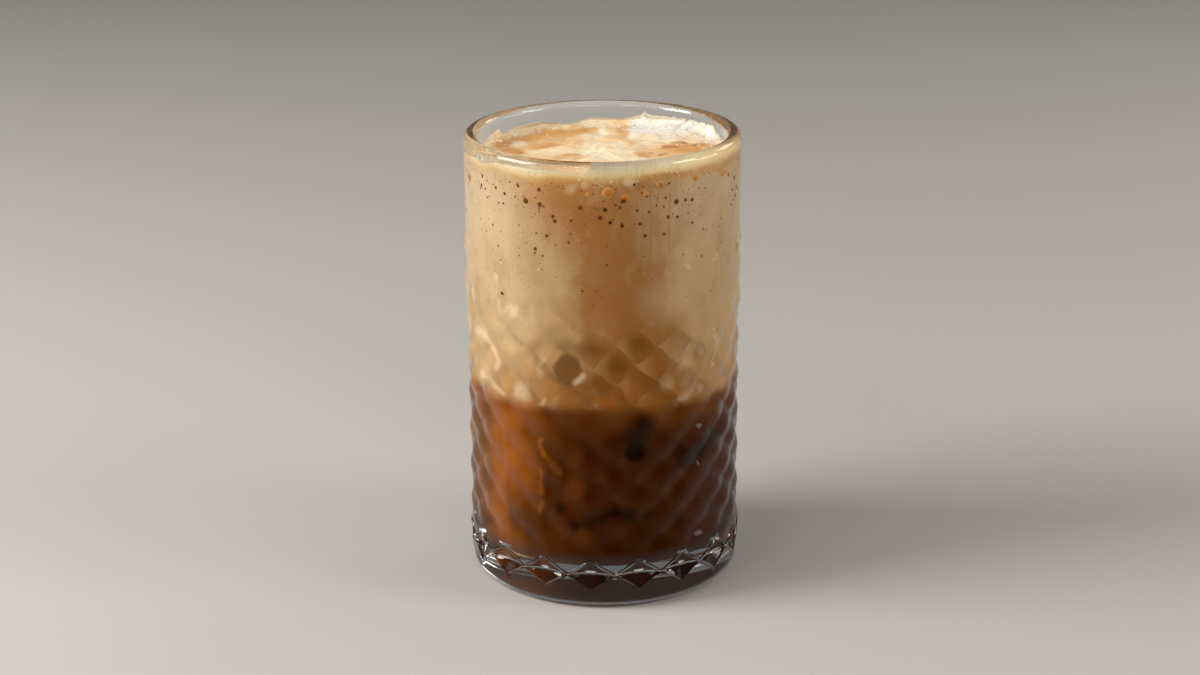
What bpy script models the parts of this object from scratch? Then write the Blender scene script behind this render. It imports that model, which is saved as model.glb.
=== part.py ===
"""Frappe in its moulded tumbler.

The tumbler is one turned solid of clear glass: a thick foot, a band of cut diamonds, a lattice of
rounded pillows that fades out upwards into single drops, a plain upper wall and a round rim. It
holds three layers that show through its wall, each a solid: dark coffee, a deep layer of milk
foam, and a cap of froth whose uneven top clings to the wall a few millimetres under the rim.

Units are metres, +Z is up, and the origin is the middle of the foot. Seen from the front, the
viewer looks along +Y, with +X to the right.
"""

from math import atan2, cos, exp, hypot, pi, radians, sin

import bmesh
import bpy

MM = 0.001

# Tumbler
HEIGHT = 130 * MM
OUTER_RADIUS = 39 * MM
INNER_RADIUS = 35.1 * MM
FLOOR_HEIGHT = 10.4 * MM
FLOOR_DISH = 0.4 * MM
FLOOR_CORNER_RADIUS = 12 * MM
FLOOR_CORNER_POINTS = 7
RIM_POINTS = 8
FOOT_RADIUS = 38.5 * MM
FOOT_CORNER_RADIUS = 4.5 * MM
FOOT_CORNER_POINTS = 4
FOOT_RING_WIDTH = 4.5 * MM
FOOT_HOLLOW_DEPTH = 0.8 * MM
FOOT_HOLLOW_SLOPE = 2 * MM

# Moulded pattern: columns stand half a pillow apart, and every second one is half a pillow higher
COLUMNS = 36
STEPS_PER_COLUMN = 2
STEPS_PER_HALF_PILLOW = 2
TURN_STEPS = COLUMNS * STEPS_PER_COLUMN
COLUMN_ANGLE = 2 * pi / COLUMNS
PATTERN_TURN = radians(4.1)
BAND_BOTTOM = 6.2 * MM
BAND_HALF_HEIGHT = 4.5 * MM
CUT_DEPTH = 1.3 * MM
LATTICE_BOTTOM = BAND_BOTTOM + 2 * BAND_HALF_HEIGHT
HALF_PILLOW_HEIGHT = 5.52 * MM
GROOVE_DEPTH = 1.3 * MM
DEEP_ROWS = 8
LAST_GROOVED_ROW = 12.5
TOP_ROW = 16
# Rows above the full pillows: how far each drop stands out, and its size beside a full pillow's
FADING_DROPS = {
    12: (0.35 * MM, 0.9),
    13: (0.50 * MM, 0.7),
    14: (0.30 * MM, 0.5),
    15: (0.70 * MM, 0.5),
}

# Contents
GAP = 0.3 * MM
CONTENTS_RADIUS = INNER_RADIUS - GAP
CONTENTS_STEPS = 48
COFFEE_LEVEL = 59 * MM
FROTH_BOTTOM = 122.3 * MM
FROTH_LEVEL = 123.9 * MM
FROTH_RINGS = 10
FROTH_STEPS = 72
WALL_CLIMB = 1.3 * MM
WALL_CLIMB_WIDTH = 6 * MM
RAGGED_EDGE_WIDTH = 2.4 * MM
RAGGED_EDGE = 0.45 * MM
# Mounds of froth: place across and along the surface, spread and height
FROTH_MOUNDS = (
    (26 * MM, 28 * MM, 8 * MM, 2.1 * MM),
    (35 * MM, 10 * MM, 8 * MM, 1.2 * MM),
    (2 * MM, -36 * MM, 9 * MM, 1.1 * MM),
    (-24 * MM, 24 * MM, 9 * MM, -0.5 * MM),
    (-2 * MM, 6 * MM, 9 * MM, 0.35 * MM),
)
RIPPLE = 0.16 * MM
RIPPLE_LENGTH = 11 * MM


def clear_scene():
    """Remove the objects that a new file starts with."""
    for thing in list(bpy.data.objects):
        bpy.data.objects.remove(thing)


def make_material(name, colour, roughness, transmission=0.0, ior=1.45):
    """A plain Principled finish; nothing here is metal."""
    material = bpy.data.materials.new(name)
    material.use_nodes = True
    shader = material.node_tree.nodes["Principled BSDF"]
    shader.inputs["Base Color"].default_value = (*colour, 1)
    shader.inputs["Roughness"].default_value = roughness
    shader.inputs["Metallic"].default_value = 0
    shader.inputs["Transmission Weight"].default_value = transmission
    shader.inputs["IOR"].default_value = ior
    return material


def arc(centre_radius, centre_height, radius, start, end, points):
    """Points on an arc of a turned profile, from one angle to another, in degrees."""
    angles = [radians(start + (end - start) * i / points) for i in range(points + 1)]
    return [(centre_radius + radius * cos(a), centre_height + radius * sin(a)) for a in angles]


def turned_mesh(name, profile, steps):
    """Turn a profile of (radius, height) points once round the Z axis into a closed mesh."""
    outline = bpy.data.meshes.new(name + "_profile")
    points = [(radius, 0, height) for radius, height in profile]
    outline.from_pydata(points, [(i, i + 1) for i in range(len(points) - 1)], [])
    turner = bpy.data.objects.new(name + "_profile", outline)
    bpy.context.scene.collection.objects.link(turner)
    screw = turner.modifiers.new("turn", "SCREW")
    screw.steps = steps
    screw.render_steps = steps
    screw.use_merge_vertices = True
    screw.merge_threshold = 0.01 * MM
    evaluated = turner.evaluated_get(bpy.context.evaluated_depsgraph_get())
    mesh = bpy.data.meshes.new_from_object(evaluated)
    mesh.name = name
    bpy.data.objects.remove(turner)
    bpy.data.meshes.remove(outline)
    return mesh


def place(name, mesh, material, collection, sharp_angle):
    """Put a finished mesh in the collection as an object, shaded smooth up to its sharp edges."""
    mesh.materials.clear()
    mesh.materials.append(material)
    mesh.shade_smooth()
    mesh.set_sharp_from_angle(angle=radians(sharp_angle))
    thing = bpy.data.objects.new(name, mesh)
    collection.objects.link(thing)
    return thing


def pattern_place(point):
    """Columns round from +X, and half pillows up from the lattice's lower edge, of a wall point."""
    return atan2(point.y, point.x) / COLUMN_ANGLE, (point.z - LATTICE_BOTTOM) / HALF_PILLOW_HEIGHT


def band_row(height):
    """Height in the diamond band, from -1 at its lower edge to 1 at its upper edge."""
    return (height - BAND_BOTTOM) / BAND_HALF_HEIGHT - 1


def pillow_centre(across, up):
    """The pillow that holds this place: a pillow's column and row always add up to an odd number."""
    column, row = round(across), round(up)
    if (column + row) % 2 == 0:
        beside, above = across - column, up - row
        if abs(beside) > abs(above):
            column += 1 if beside > 0 else -1
        else:
            row += 1 if above > 0 else -1
    return column, row


def lattice_relief(across, up):
    """How far the wall stands out, or in, at a place in the lattice."""
    column, row = pillow_centre(across, up)
    distance = abs(across - column) + abs(up - row)
    fade = (LAST_GROOVED_ROW - up) / (LAST_GROOVED_ROW - DEEP_ROWS)
    groove = GROOVE_DEPTH * min(max(fade, 0), 1) * distance ** 2
    proud, size = FADING_DROPS.get(row, (0, 1))
    return proud * max(0, 1 - (distance / size) ** 2) - groove


def diamond_relief(across, up):
    """Depth of the V-shaped cut of a diamond, which is deepest on its level centre line."""
    beside = abs(across - 2 * round(across / 2))
    room = 1 - beside
    if abs(up) >= room:
        return 0
    return -CUT_DEPTH * (1 - beside ** 2) * (1 - abs(up) / room)


def glass_profile():
    """Half section of the tumbler: out over the floor, up, over the rim, down, and in below."""
    corner = INNER_RADIUS - FLOOR_CORNER_RADIUS
    rim = (OUTER_RADIUS - INNER_RADIUS) / 2
    foot = FOOT_RADIUS - FOOT_CORNER_RADIUS
    hollow = foot - FOOT_RING_WIDTH
    points = [(0, FLOOR_HEIGHT - FLOOR_DISH)]
    points += arc(corner, FLOOR_HEIGHT + FLOOR_CORNER_RADIUS, FLOOR_CORNER_RADIUS,
                  -90, 0, FLOOR_CORNER_POINTS)
    points += arc(INNER_RADIUS + rim, HEIGHT - rim, rim, 180, 0, RIM_POINTS)
    lattice_rows = TOP_ROW * STEPS_PER_HALF_PILLOW
    for i in range(lattice_rows, -1, -1):
        points.append((OUTER_RADIUS, LATTICE_BOTTOM + i * HALF_PILLOW_HEIGHT / STEPS_PER_HALF_PILLOW))
    band_rows = 2 * STEPS_PER_HALF_PILLOW
    for i in range(band_rows - 1, -1, -1):
        share = i / band_rows
        radius = FOOT_RADIUS + share * (OUTER_RADIUS - FOOT_RADIUS)
        points.append((radius, BAND_BOTTOM + share * 2 * BAND_HALF_HEIGHT))
    points += arc(foot, FOOT_CORNER_RADIUS, FOOT_CORNER_RADIUS, 0, -90, FOOT_CORNER_POINTS)
    points.append((hollow, 0))
    points.append((hollow - FOOT_HOLLOW_SLOPE, FOOT_HOLLOW_DEPTH))
    points.append((0, FOOT_HOLLOW_DEPTH))
    return points


def mould_wall(mesh):
    """Press the lattice and the diamonds into the plain outer wall, and crease it along them."""
    margin = 0.1 * MM
    lattice_top = LATTICE_BOTTOM + TOP_ROW * HALF_PILLOW_HEIGHT
    halfway = (OUTER_RADIUS + INNER_RADIUS) / 2
    solid = bmesh.new()
    solid.from_mesh(mesh)

    def moulded(point):
        outside = hypot(point.x, point.y) > halfway
        return outside and BAND_BOTTOM - margin < point.z < lattice_top + margin

    def place_and_centre(point):
        across, up = pattern_place(point)
        if point.z < LATTICE_BOTTOM:
            return (across, band_row(point.z)), (2 * round(across / 2), 0)
        return (across, up), pillow_centre(across, up)

    for face in list(solid.faces):
        middle = face.calc_center_median()
        if len(face.verts) != 4 or not moulded(middle):
            continue
        (middle_across, _), (column, row) = place_and_centre(middle)
        below = middle.z < LATTICE_BOTTOM

        def distance(vertex):
            across, up = pattern_place(vertex.co)
            if below:
                up = band_row(vertex.co.z)
            turns = round((across - middle_across) / COLUMNS)
            return abs(across - turns * COLUMNS - column) + abs(up - row)

        _, first, second, _ = sorted(face.verts, key=distance)
        bmesh.utils.face_split(face, first, second)

    for vertex in solid.verts:
        if not moulded(vertex.co):
            continue
        across, up = pattern_place(vertex.co)
        if vertex.co.z < LATTICE_BOTTOM - margin:
            relief = diamond_relief(across, band_row(vertex.co.z))
        else:
            relief = lattice_relief(across, up)
        stretch = 1 + relief / OUTER_RADIUS
        vertex.co.x *= stretch
        vertex.co.y *= stretch
    solid.to_mesh(mesh)
    solid.free()


def make_glass(collection):
    """The tumbler, turned so that its columns stand as they do seen from the front."""
    clear = make_material("clear_glass", (0.95, 0.97, 0.96), 0.03, transmission=1.0, ior=1.5)
    mesh = turned_mesh("glass", glass_profile(), TURN_STEPS)
    mould_wall(mesh)
    glass = place("glass", mesh, clear, collection, sharp_angle=32)
    glass.rotation_euler.z = PATTERN_TURN
    return glass


def make_coffee(collection):
    """Dark coffee, from the rounded floor up to the level where the foam begins."""
    brown = make_material("dark_coffee", (0.09, 0.028, 0.008), 0.12)
    corner = FLOOR_CORNER_RADIUS - GAP
    profile = [(0, COFFEE_LEVEL - GAP / 2), (CONTENTS_RADIUS, COFFEE_LEVEL - GAP / 2)]
    profile += arc(CONTENTS_RADIUS - corner, FLOOR_HEIGHT + GAP + corner, corner,
                   0, -90, FLOOR_CORNER_POINTS)
    profile.append((0, FLOOR_HEIGHT + GAP - FLOOR_DISH))
    return place("coffee", turned_mesh("coffee", profile, CONTENTS_STEPS), brown, collection, 40)


def make_milk_foam(collection):
    """The deep layer of coffee-coloured milk foam between the coffee and the froth."""
    tan = make_material("coffee_foam", (0.47, 0.27, 0.13), 0.45)
    bottom, top = COFFEE_LEVEL + GAP / 2, FROTH_BOTTOM - GAP
    profile = [(0, top), (CONTENTS_RADIUS, top), (CONTENTS_RADIUS, bottom), (0, bottom)]
    return place("milk_foam", turned_mesh("milk_foam", profile, CONTENTS_STEPS), tan, collection, 40)


def froth_height(x, y):
    """Height of the froth's top: a billowed middle, an edge that climbs the wall, and mounds."""
    radius, angle = hypot(x, y), atan2(y, x)
    climb = max(0, 1 - (CONTENTS_RADIUS - radius) / WALL_CLIMB_WIDTH)
    ragged = max(0, 1 - (CONTENTS_RADIUS - radius) / RAGGED_EDGE_WIDTH)
    height = FROTH_LEVEL + WALL_CLIMB * climb ** 2
    for across, along, spread, rise in FROTH_MOUNDS:
        height += rise * exp(-((x - across) ** 2 + (y - along) ** 2) / spread ** 2)
    height += RIPPLE * sin(2 * pi * (x + 0.4 * y) / RIPPLE_LENGTH) * cos(2 * pi * y / RIPPLE_LENGTH)
    return height + RAGGED_EDGE * ragged * (sin(7 * angle + 1) + 0.7 * sin(17 * angle + 0.6))


def make_froth_cap(collection):
    """The paler froth on top, which meets the wall all the way round."""
    cream = make_material("pale_froth", (0.82, 0.68, 0.50), 0.5)
    rings = [CONTENTS_RADIUS * (1 - (1 - i / FROTH_RINGS) ** 1.3) for i in range(FROTH_RINGS + 1)]
    profile = [(radius, FROTH_LEVEL) for radius in rings]
    profile += [(CONTENTS_RADIUS, FROTH_BOTTOM), (0, FROTH_BOTTOM)]
    mesh = turned_mesh("froth_cap", profile, FROTH_STEPS)
    for vertex in mesh.vertices:
        if vertex.co.z > (FROTH_LEVEL + FROTH_BOTTOM) / 2:
            vertex.co.z = froth_height(vertex.co.x, vertex.co.y)
    return place("froth_cap", mesh, cream, collection, 50)


def main():
    """Build the filled tumbler."""
    clear_scene()
    collection = bpy.data.collections.new("frappe")
    bpy.context.scene.collection.children.link(collection)
    make_glass(collection)
    make_coffee(collection)
    make_milk_foam(collection)
    make_froth_cap(collection)


main()
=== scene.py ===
# %% [markdown]
# # A frappe in its moulded tumbler
#
# The real thing is a tall tumbler of pressed glass, filled with iced coffee, a deep layer of milk
# foam and a cap of froth. Light passes the clear wall and stops at the drink, so the look is made
# in two halves: a finely moulded wall that bends and reflects light, and a drink whose colours
# change with height, with bubbles against the glass and froth on top.
#
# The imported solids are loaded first. They fix every size and place, in metres, and each piece below
# stands where one of them stands.

# %% Load the solids
import random
from math import atan2, cos, exp, hypot, pi, radians, sin

import bmesh
import bpy
from mathutils import Euler, Matrix, Vector, noise


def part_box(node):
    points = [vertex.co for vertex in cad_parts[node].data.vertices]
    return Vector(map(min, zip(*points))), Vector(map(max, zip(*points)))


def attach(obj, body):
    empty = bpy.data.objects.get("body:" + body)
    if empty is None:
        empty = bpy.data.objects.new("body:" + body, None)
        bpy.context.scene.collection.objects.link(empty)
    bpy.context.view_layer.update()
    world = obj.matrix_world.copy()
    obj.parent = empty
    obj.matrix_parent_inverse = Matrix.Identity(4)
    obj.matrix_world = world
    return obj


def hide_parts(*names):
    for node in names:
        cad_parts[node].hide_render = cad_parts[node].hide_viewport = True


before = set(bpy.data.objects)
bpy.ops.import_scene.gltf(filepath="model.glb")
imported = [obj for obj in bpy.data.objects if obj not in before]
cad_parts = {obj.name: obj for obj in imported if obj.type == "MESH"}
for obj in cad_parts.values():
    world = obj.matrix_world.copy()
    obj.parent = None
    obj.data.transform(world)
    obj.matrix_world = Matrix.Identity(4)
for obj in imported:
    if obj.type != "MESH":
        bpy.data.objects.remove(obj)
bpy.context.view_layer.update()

MM = 0.001

# %% [markdown]
# ## Small helpers
#
# A modelling operator works on all that is selected, and the loaded solids arrive selected. So
# each new piece starts by deselecting everything. A finished piece keeps its object at the origin,
# unturned and unscaled, with its place in its mesh, so that a pattern on Object coordinates stays
# where it was put.

# %% Helpers for modelling
def add_alone(name, add, **settings):
    """Add a primitive with nothing else selected, and name it."""
    bpy.ops.object.select_all(action="DESELECT")
    add(**settings)
    piece = bpy.context.active_object
    piece.name = name
    piece.data.name = name
    return piece


def settle(piece):
    """Put the piece's place, turn and size into its mesh."""
    bpy.ops.object.select_all(action="DESELECT")
    piece.select_set(True)
    bpy.context.view_layer.objects.active = piece
    bpy.ops.object.transform_apply(location=True, rotation=True, scale=True)


def join(pieces, name):
    """Join several pieces into the first one."""
    bpy.ops.object.select_all(action="DESELECT")
    for piece in pieces:
        piece.select_set(True)
    bpy.context.view_layer.objects.active = pieces[0]
    bpy.ops.object.join()
    pieces[0].name = pieces[0].data.name = name
    return pieces[0]


def new_finish(name, roughness):
    """An empty finish: its material, its node tree and its Principled shader."""
    material = bpy.data.materials.new(name)
    material.use_nodes = True
    shader = material.node_tree.nodes["Principled BSDF"]
    shader.inputs["Roughness"].default_value = roughness
    return material, material.node_tree, shader


def dress(piece, finish, slot, *nodes):
    """Give a finished piece its material, and hang it on the model in place of its solids."""
    piece.data.materials.clear()
    piece.data.materials.append(finish)
    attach(piece, "root")
    if nodes:
        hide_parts(*nodes)
    triangles = sum(len(face.vertices) - 2 for face in piece.data.polygons)
    print(f"{piece.name}: {triangles} triangles")


# %% [markdown]
# A turned shape is drawn as half of its section, one vertex extruded from point to point, and then
# spun round the Z axis. That is how a lathe makes it, and the section stays easy to read.

# %% Helpers for turned shapes
def arc(centre_radius, centre_height, radius, start, end, points):
    """Points on an arc of a section, from one angle to another, in degrees."""
    angles = [radians(start + (end - start) * i / points) for i in range(points + 1)]
    return [(centre_radius + radius * cos(a), centre_height + radius * sin(a)) for a in angles]


def turn(name, section, steps):
    """Draw a section of (radius, height) points and spin it into a closed piece."""
    piece = add_alone(name, bpy.ops.mesh.primitive_plane_add, size=MM)
    bpy.ops.object.mode_set(mode="EDIT")
    bpy.ops.mesh.select_mode(type="VERT")
    bpy.ops.mesh.select_all(action="SELECT")
    bpy.ops.mesh.merge(type="CENTER")
    bpy.ops.transform.translate(value=(section[0][0], 0, section[0][1]))
    for (radius, height), (next_radius, next_height) in zip(section, section[1:]):
        step = (next_radius - radius, 0, next_height - height)
        bpy.ops.mesh.extrude_vertices_move(TRANSFORM_OT_translate={"value": step})
    bpy.ops.mesh.select_all(action="SELECT")
    bpy.ops.mesh.spin(steps=steps, angle=2 * pi, center=(0, 0, 0), axis=(0, 0, 1))
    bpy.ops.mesh.select_all(action="SELECT")
    bpy.ops.mesh.remove_doubles(threshold=0.005 * MM)
    bpy.ops.mesh.normals_make_consistent(inside=False)
    bpy.ops.object.mode_set(mode="OBJECT")
    return piece


# %% [markdown]
# ## Stage
#
# The object stands on a plain pale floor. A large soft lamp stands on its left and a weaker one on
# its right, both low, so that they light the drink's sides more than the floor. A dim one in front
# fills the shadow, and one behind lights the froth and the thick foot. Glass shows what is around
# it, so the lamps are big: their reflections become the soft highlights on the rim and on the
# pattern. Two narrow lamps higher up and one just over the floor are there for highlights alone.

# %% Floor
FLOOR_SIZE = 6.0

floor = add_alone("floor", bpy.ops.mesh.primitive_plane_add, size=FLOOR_SIZE)
floor_finish, _, floor_shader = new_finish("pale_floor", 0.6)
floor_shader.inputs["Base Color"].default_value = (0.47, 0.45, 0.42, 1)
floor.data.materials.append(floor_finish)
print("floor:", FLOOR_SIZE, "m across")

# %% Lamps and sky
AIM = Vector((0, 0, 70 * MM))
SKY_COLOUR = (0.95, 0.97, 1.0, 1)
SKY_STRENGTH = 0.11


def add_lamp(name, angle, rise, distance, width, height, watts, colour):
    """A rectangular soft lamp that faces the drink, at an angle from the front and above the floor."""
    a, e = radians(angle), radians(rise)
    place = AIM + distance * Vector((sin(a) * cos(e), -cos(a) * cos(e), sin(e)))
    bpy.ops.object.light_add(type="AREA", location=place)
    lamp = bpy.context.active_object
    lamp.name = name
    lamp.data.shape = "RECTANGLE"
    lamp.data.size = width
    lamp.data.size_y = height
    lamp.data.energy = watts
    lamp.data.color = colour
    lamp.rotation_euler = (AIM - place).to_track_quat("-Z", "Y").to_euler()


add_lamp("key_lamp", -78, 26, 1.1, 0.6, 0.5, 16, (1, 0.97, 0.94))
add_lamp("right_lamp", 72, 24, 1.1, 0.4, 0.4, 5, (1, 0.93, 0.85))
add_lamp("front_lamp", 12, 34, 1.2, 0.5, 0.25, 1.5, (1, 0.95, 0.90))
add_lamp("back_lamp", 130, 24, 1.1, 0.4, 0.35, 1.7, (1, 0.98, 0.95))
add_lamp("rim_lamp", -50, 42, 1.1, 1.0, 0.22, 4.0, (1, 0.96, 0.94))
add_lamp("low_lamp", 92, 7, 1.1, 0.5, 0.3, 2.2, (1, 0.98, 0.95))
add_lamp("edge_lamp", -104, 36, 1.1, 1.2, 0.04, 1.0, (1, 0.98, 0.95))

sky = bpy.data.worlds.new("sky")
bpy.context.scene.world = sky
sky.use_nodes = True
sky.node_tree.nodes["Background"].inputs["Color"].default_value = SKY_COLOUR
sky.node_tree.nodes["Background"].inputs["Strength"].default_value = SKY_STRENGTH
bpy.context.scene.view_settings.view_transform = "Standard"

# %% [markdown]
# The camera looks down on the drink from the front, through a long lens. Its place comes from
# fitting the rim's and the foot's ellipses, so the drink stands in the frame as in the photo.

# %% Camera
CAMERA_PLACE = (-0.95 * MM, -698 * MM, 298.4 * MM)
LENS = 76.5
SENSOR_WIDTH = 36
LOOK_DOWN = radians(18.23)
LEAN = radians(0.4)

bpy.ops.object.camera_add()
camera = bpy.context.active_object
camera.data.lens = LENS
camera.data.sensor_width = SENSOR_WIDTH
camera.matrix_world = (Matrix.Translation(CAMERA_PLACE) @ Matrix.Rotation(pi / 2 - LOOK_DOWN, 4, "X")
                       @ Matrix.Rotation(-LEAN, 4, "Z"))
bpy.context.scene.camera = camera
print(f"camera: lens of {LENS} mm, {-camera.location.y:.3f} m in front")

# %% [markdown]
# ## The tumbler
#
# Its section has a thick foot with a shallow hollow underneath, a straight wall, and a fully
# rounded rim. Two cylinders could give it, one cut out of the other, but their rounded corners would
# be work of their own, so the whole section is drawn and spun as one closed skin. The rows of points
# on the outer wall are close together, because the moulded pattern is pressed into them afterwards.

# %% Sizes of the tumbler
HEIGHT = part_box("glass")[1].z
OUTER_RADIUS = 39 * MM
INNER_RADIUS = 35.1 * MM
WALL = OUTER_RADIUS - INNER_RADIUS
FLOOR_HEIGHT = 10.4 * MM
FLOOR_DISH = 0.4 * MM
FLOOR_CORNER_RADIUS = 12 * MM
FOOT_RADIUS = 38.5 * MM
FOOT_CORNER_RADIUS = 4.5 * MM
FOOT_RING_WIDTH = 4.5 * MM
FOOT_HOLLOW_DEPTH = 0.8 * MM
FOOT_HOLLOW_SLOPE = 2 * MM
ARC_POINTS = 14

COLUMNS = 36
STEPS_PER_COLUMN = 8
STEPS_PER_HALF_PILLOW = 8
COLUMN_ANGLE = 2 * pi / COLUMNS
PATTERN_TURN = radians(4.1)
BAND_BOTTOM = 6.2 * MM
BAND_HALF_HEIGHT = 4.5 * MM
LATTICE_BOTTOM = BAND_BOTTOM + 2 * BAND_HALF_HEIGHT
HALF_PILLOW_HEIGHT = 5.52 * MM
TOP_ROW = 16
print(f"tumbler: {HEIGHT / MM:.1f} mm tall, {2 * OUTER_RADIUS / MM:.1f} mm across, wall {WALL / MM:.1f} mm")


# %% Draw the section and spin it
def tumbler_section():
    """Half section: out over the floor, up, over the rim, down, and in below."""
    corner = INNER_RADIUS - FLOOR_CORNER_RADIUS
    foot = FOOT_RADIUS - FOOT_CORNER_RADIUS
    hollow = foot - FOOT_RING_WIDTH
    points = [(0, FLOOR_HEIGHT - FLOOR_DISH), (corner / 2, FLOOR_HEIGHT - FLOOR_DISH / 4)]
    points += arc(corner, FLOOR_HEIGHT + FLOOR_CORNER_RADIUS, FLOOR_CORNER_RADIUS, -90, 0, ARC_POINTS)
    points += arc(INNER_RADIUS + WALL / 2, HEIGHT - WALL / 2, WALL / 2, 180, 0, ARC_POINTS)
    lattice_rows = TOP_ROW * STEPS_PER_HALF_PILLOW
    for i in range(lattice_rows, -1, -1):
        points.append((OUTER_RADIUS, LATTICE_BOTTOM + i * HALF_PILLOW_HEIGHT / STEPS_PER_HALF_PILLOW))
    band_rows = 2 * STEPS_PER_HALF_PILLOW
    for i in range(band_rows - 1, -1, -1):
        share = i / band_rows
        radius = FOOT_RADIUS + share * (OUTER_RADIUS - FOOT_RADIUS)
        points.append((radius, BAND_BOTTOM + share * 2 * BAND_HALF_HEIGHT))
    points += arc(foot, FOOT_CORNER_RADIUS, FOOT_CORNER_RADIUS, 0, -90, ARC_POINTS)
    points.append((hollow, 0))
    points.append((hollow - FOOT_HOLLOW_SLOPE, FOOT_HOLLOW_DEPTH))
    points.append((0, FOOT_HOLLOW_DEPTH))
    return points


tumbler = turn("tumbler", tumbler_section(), COLUMNS * STEPS_PER_COLUMN)
print("tumbler turned:", len(tumbler.data.vertices), "points")

# %% [markdown]
# ### The moulded pattern
#
# The wall carries a lattice of rounded pillows over a band of V-shaped diamonds. Columns of pillows
# stand half a pillow apart, every second one half a pillow higher. Pressed glass is soft when it
# leaves the mould, so the pillows swell and sink in a smooth wave, with a soft crease between them,
# while the diamonds below keep their straight edges. The edges run on slants, so each small face
# of the wall is first split along the slant. Higher up the pillows fade, and only drops of
# glass are left. Cutting each groove with a tool of its own would be slow and leave slivers, so each
# point's depth is worked out from its column and row instead.

# %% Depth of the pattern
CUT_DEPTH = 1.3 * MM
GROOVE_DEPTH = 1.1 * MM
# Share of a pillow's form that is creased at its edges; the rest is a smooth wave
CREASE = 0.18
DEEP_ROWS = 11.6
EDGE_RISE = 0.34 * MM
EDGE_WIDTH = 0.5 * MM
LAST_GROOVED_ROW = 12.5
# The grooves start from nothing at the lattice's lower edge, and are full from this row up
FIRST_FULL_ROW = 0.9
# How far off a point may be and still count as on an edge of the pattern
NEAR_EDGE = 0.1 * MM
# Rows above the full pillows: how far each drop stands out, and its size beside a full pillow's
FADING_DROPS = {
    12: (0.35 * MM, 0.9),
    13: (0.50 * MM, 0.7),
    14: (0.30 * MM, 0.5),
    15: (0.70 * MM, 0.5),
}


def pattern_place(point):
    """Columns round from the first one, and half pillows up from the lattice's lower edge."""
    columns = (atan2(point.y, point.x) - PATTERN_TURN) / COLUMN_ANGLE
    return columns, (point.z - LATTICE_BOTTOM) / HALF_PILLOW_HEIGHT


def band_row(height):
    """Height in the diamond band, from -1 at its lower edge to 1 at its upper edge."""
    return (height - BAND_BOTTOM) / BAND_HALF_HEIGHT - 1


def pillow_centre(across, up):
    """The pillow that holds this place: a pillow's column and row always add up to an odd number."""
    column, row = round(across), round(up)
    if (column + row) % 2 == 0:
        beside, above = across - column, up - row
        if abs(beside) > abs(above):
            column += 1 if beside > 0 else -1
        else:
            row += 1 if above > 0 else -1
    return column, row


def lattice_relief(across, up):
    """How far the wall stands out, or in, at a place in the lattice."""
    column, row = pillow_centre(across, up)
    distance = abs(across - column) + abs(up - row)
    wave = (1 + cos(pi * across) * cos(pi * up)) / 2
    fade = min(max((LAST_GROOVED_ROW - up) / (LAST_GROOVED_ROW - DEEP_ROWS), 0), 1)
    fade *= min(up / FIRST_FULL_ROW, 1)
    groove = GROOVE_DEPTH * fade * (CREASE * distance ** 3 + (1 - CREASE) * wave)
    proud, size = FADING_DROPS.get(row, (0, 1))
    return proud * max(0, 1 - (distance / size) ** 2) - groove


def diamond_relief(across, up):
    """Depth of the V-shaped cut of a diamond, which is deepest on its level centre line."""
    beside = abs(across - 2 * round(across / 2))
    room = 1 - beside
    if abs(up) >= room:
        return 0
    return -CUT_DEPTH * (1 - beside ** 2) * (1 - abs(up) / room)


# %% Press the pattern into the wall
def on_pattern(point):
    """True on the outer wall, between the diamonds' lower edge and the highest drops."""
    top = LATTICE_BOTTOM + TOP_ROW * HALF_PILLOW_HEIGHT
    outside = hypot(point.x, point.y) > (OUTER_RADIUS + INNER_RADIUS) / 2
    return outside and BAND_BOTTOM - NEAR_EDGE < point.z < top + NEAR_EDGE


def split_on_slants(solid):
    """Split each four-sided face of the pattern along the slant that its groove takes."""
    for face in list(solid.faces):
        middle = face.calc_center_median()
        if len(face.verts) != 4 or not on_pattern(middle):
            continue
        below = middle.z < LATTICE_BOTTOM
        middle_across, middle_up = pattern_place(middle)
        if below:
            column, row = 2 * round(middle_across / 2), 0
        else:
            column, row = pillow_centre(middle_across, middle_up)

        def distance(vertex):
            across, up = pattern_place(vertex.co)
            if below:
                up = band_row(vertex.co.z)
            turns = round((across - middle_across) / COLUMNS)
            return abs(across - turns * COLUMNS - column) + abs(up - row)

        _, first, second, _ = sorted(face.verts, key=distance)
        bmesh.utils.face_split(face, first, second)


def press(solid):
    """Move each point of the pattern in or out by its relief."""
    for vertex in solid.verts:
        if not on_pattern(vertex.co):
            continue
        across, up = pattern_place(vertex.co)
        if vertex.co.z < LATTICE_BOTTOM - NEAR_EDGE:
            relief = diamond_relief(across, band_row(vertex.co.z))
        else:
            relief = lattice_relief(across, up)
        stretch = 1 + relief / OUTER_RADIUS
        vertex.co.x *= stretch
        vertex.co.y *= stretch


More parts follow.
